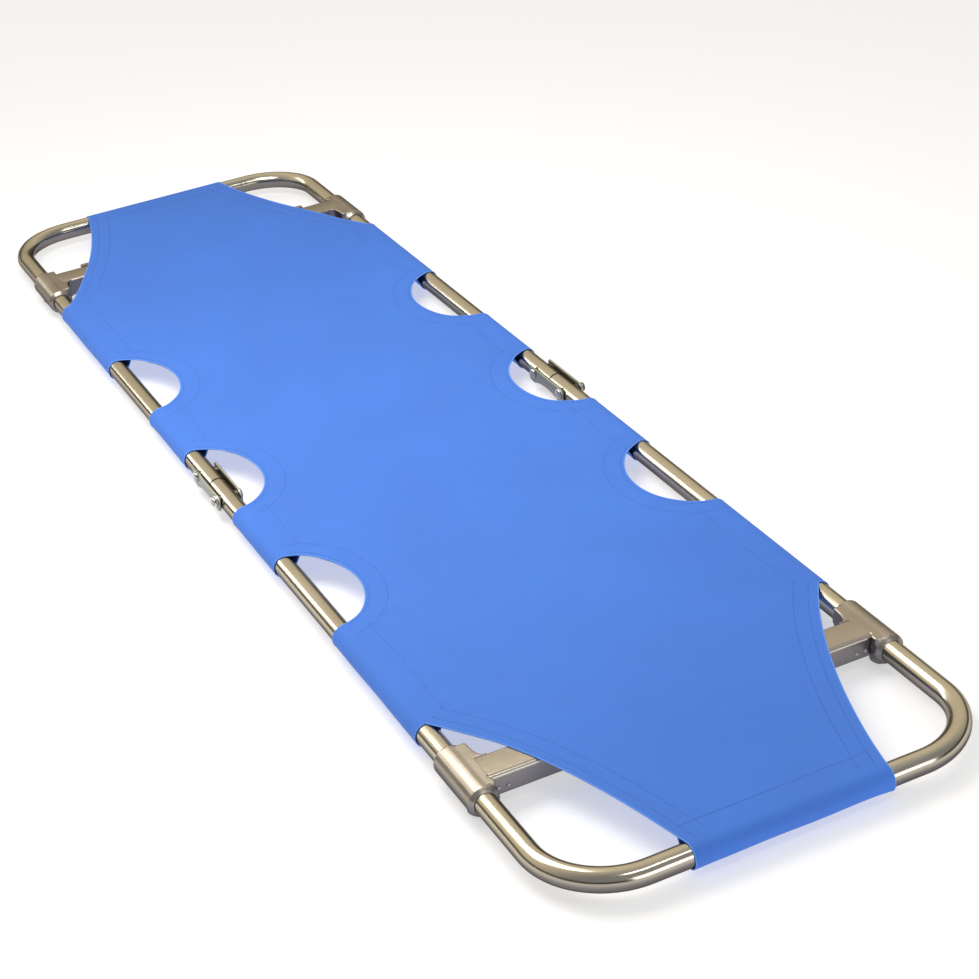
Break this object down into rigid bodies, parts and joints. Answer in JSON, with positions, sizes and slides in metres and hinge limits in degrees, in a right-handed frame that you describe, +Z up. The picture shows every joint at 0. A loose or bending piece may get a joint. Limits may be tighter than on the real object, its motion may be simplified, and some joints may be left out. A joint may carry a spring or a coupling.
{
  "type": "folding stretcher",
  "caption": "Two-fold emergency stretcher: bent aluminium tube frame, hinged side rails, cast crossbar collars and a blue canvas bed with hand holes.",
  "frame": {"origin": "on the floor under the middle of the open stretcher", "axes": "+Y along the stretcher to the far end, +X across it to the right, +Z up"},
  "size_m": [0.5712, 2.0904, 0.0465],
  "materials": {
    "tube_aluminium": "polished tube with a warm tint",
    "cast_aluminium": "satin casting",
    "zinc_steel": "zinc-plated plate",
    "bright_steel": "polished rivet steel",
    "bronze": "sintered bush",
    "rubber": "moulded pad",
    "canvas": "coated woven cloth, blue"
  },
  "bodies": {
    "near_frame": {"near_frame_tube": "tube_aluminium", "near_crossbar": "cast_aluminium", "near_canvas": "canvas", "near_collar_left": "cast_aluminium", "near_collar_rivet_left_1": "bright_steel", "near_collar_rivet_left_2": "bright_steel", "near_foot_pad_left": "rubber", "near_pin_bush_left": "bronze", "near_collar_right": "cast_aluminium", "near_collar_rivet_right_1": "bright_steel", "near_collar_rivet_right_2": "bright_steel", "near_foot_pad_right": "rubber", "near_pin_bush_right": "bronze"},
    "hinge_links": {"middle_canvas": "canvas", "hinge_plate_outer_left": "zinc_steel", "hinge_plate_inner_left": "zinc_steel", "hinge_plate_outer_right": "zinc_steel", "hinge_plate_inner_right": "zinc_steel", "near_hinge_pin_left": "bright_steel", "far_hinge_pin_left": "bright_steel", "near_hinge_pin_right": "bright_steel", "far_hinge_pin_right": "bright_steel", "button_spring_left": "bright_steel", "button_spring_right": "bright_steel"},
    "far_frame": {"far_frame_tube": "tube_aluminium", "far_crossbar": "cast_aluminium", "far_canvas": "canvas", "far_collar_left": "cast_aluminium", "far_collar_rivet_left_1": "bright_steel", "far_collar_rivet_left_2": "bright_steel", "far_foot_pad_left": "rubber", "far_pin_bush_left": "bronze", "far_strap_lug_left": "cast_aluminium", "far_collar_right": "cast_aluminium", "far_collar_rivet_right_1": "bright_steel", "far_collar_rivet_right_2": "bright_steel", "far_foot_pad_right": "rubber", "far_pin_bush_right": "bronze", "far_strap_lug_right": "cast_aluminium"},
    "release_button_left": {"release_button_left": "bright_steel"},
    "release_button_right": {"release_button_right": "bright_steel"}
  },
  "joints": [
    {"name": "link_fold", "type": "hinge", "parent": "near_frame", "child": "hinge_links", "pos_m": [0, -0.04, 0.03], "axis": [1, 0, 0], "range_deg": [0, 90]},
    {"name": "far_fold", "type": "hinge", "parent": "hinge_links", "child": "far_frame", "pos_m": [0, 0.04, 0.03], "axis": [1, 0, 0], "range_deg": [0, 90]},
    {"name": "release_left", "type": "slide", "parent": "hinge_links", "child": "release_button_left", "axis": [1, 0, 0], "range_m": [0, 0.0025], "stiffness_N_per_m": 900, "springref_m": -0.002, "deforming": ["button_spring_left"]},
    {"name": "release_right", "type": "slide", "parent": "hinge_links", "child": "release_button_right", "axis": [-1, 0, 0], "range_m": [0, 0.0025], "stiffness_N_per_m": 900, "springref_m": -0.002, "deforming": ["button_spring_right"]}
  ],
  "couplings": [
    {"joint": "link_fold", "follows": "far_fold", "ratio": 1}
  ]
}
